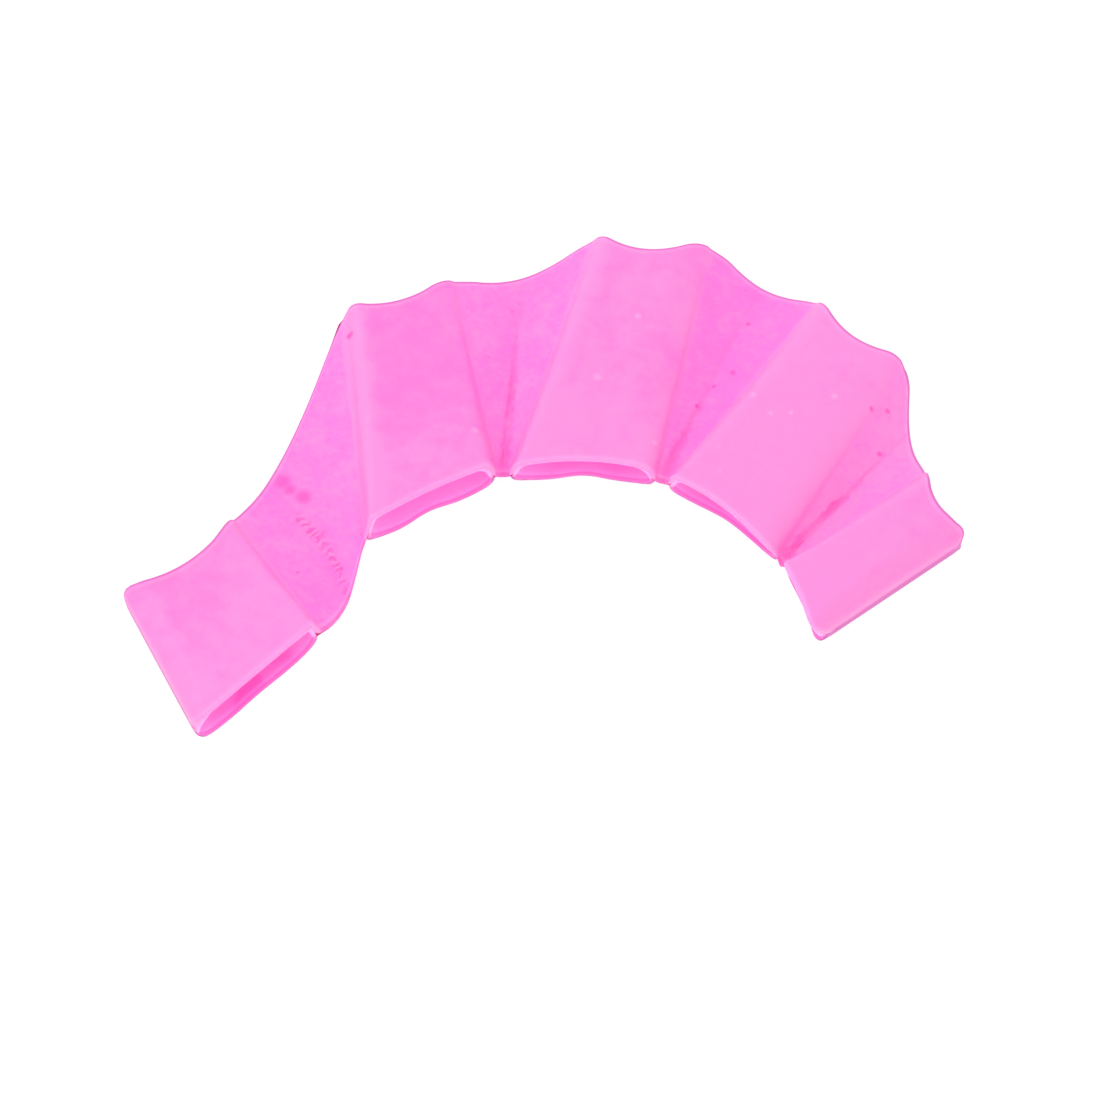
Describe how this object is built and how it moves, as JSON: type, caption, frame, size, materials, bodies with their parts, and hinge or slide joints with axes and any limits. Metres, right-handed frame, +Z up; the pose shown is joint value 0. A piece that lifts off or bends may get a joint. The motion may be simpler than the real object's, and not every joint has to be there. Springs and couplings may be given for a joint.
{
  "type": "webbed swim glove",
  "caption": "Soft one-piece swim glove: flat open-ended finger sleeves fanned out and joined by thin folded webs, lying flat.",
  "frame": {"origin": "on the table, under the middle of the bounding box", "axes": "+X from the thumb sleeve towards the little finger sleeve, +Y from the mouths towards the tips, +Z up from the table"},
  "size_m": [0.1738, 0.1232, 0.0095],
  "materials": {
    "silicone": "satin, slightly translucent"
  },
  "bodies": {
    "root": {"webbed_glove": "silicone"}
  },
  "joints": []
}
